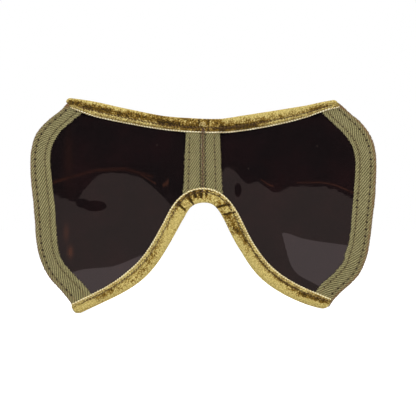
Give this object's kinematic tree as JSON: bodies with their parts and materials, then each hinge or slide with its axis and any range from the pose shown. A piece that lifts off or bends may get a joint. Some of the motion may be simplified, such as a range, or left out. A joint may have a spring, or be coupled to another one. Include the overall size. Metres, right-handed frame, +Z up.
{
  "type": "folding dust goggles",
  "caption": "Soft folding dust goggles: dark tinted sheet lenses bound in folded twill tape and velvet ribbon, joined by a sewn fold above the nose arch.",
  "frame": {"origin": "top of the nose arch, on the fold line, at mid thickness", "axes": "+X to the right as seen from the front, +Y from the front to the wearer's face, +Z up"},
  "size_m": [0.1724, 0.0054, 0.1061],
  "materials": {
    "lens": "dark brown tinted glossy sheet, slightly wavy",
    "tape": "olive cotton twill, worn brown along its folds",
    "velvet": "olive-gold velvet with a crushed nap and a pale selvedge",
    "stitch_thread": "olive sewing thread",
    "seam_thread": "brown hand stitching"
  },
  "bodies": {
    "left_half": {"left_lens": "lens", "left_side_tape": "tape", "left_inner_tape": "tape", "left_brow_velvet": "velvet", "left_cheek_velvet": "velvet", "left_side_outer_front_thread": "stitch_thread", "left_side_inner_front_thread": "stitch_thread", "left_inner_tape_front_thread": "stitch_thread", "left_brow_front_thread": "stitch_thread", "left_cheek_front_thread": "stitch_thread", "left_side_outer_back_thread": "stitch_thread", "left_side_inner_back_thread": "stitch_thread", "left_inner_tape_back_thread": "stitch_thread", "left_brow_back_thread": "stitch_thread", "left_cheek_back_thread": "stitch_thread", "fold_seam_thread": "seam_thread"},
    "right_half": {"right_lens": "lens", "right_side_tape": "tape", "right_inner_tape": "tape", "right_brow_velvet": "velvet", "right_cheek_velvet": "velvet", "right_side_outer_front_thread": "stitch_thread", "right_side_inner_front_thread": "stitch_thread", "right_inner_tape_front_thread": "stitch_thread", "right_brow_front_thread": "stitch_thread", "right_cheek_front_thread": "stitch_thread", "right_side_outer_back_thread": "stitch_thread", "right_side_inner_back_thread": "stitch_thread", "right_inner_tape_back_thread": "stitch_thread", "right_brow_back_thread": "stitch_thread", "right_cheek_back_thread": "stitch_thread"}
  },
  "joints": [
    {"name": "centre_fold", "type": "hinge", "parent": "left_half", "child": "right_half", "pos_m": [0, -0.0015, 0.02], "axis": [0, 0, -1], "range_deg": [-35, 160]}
  ]
}
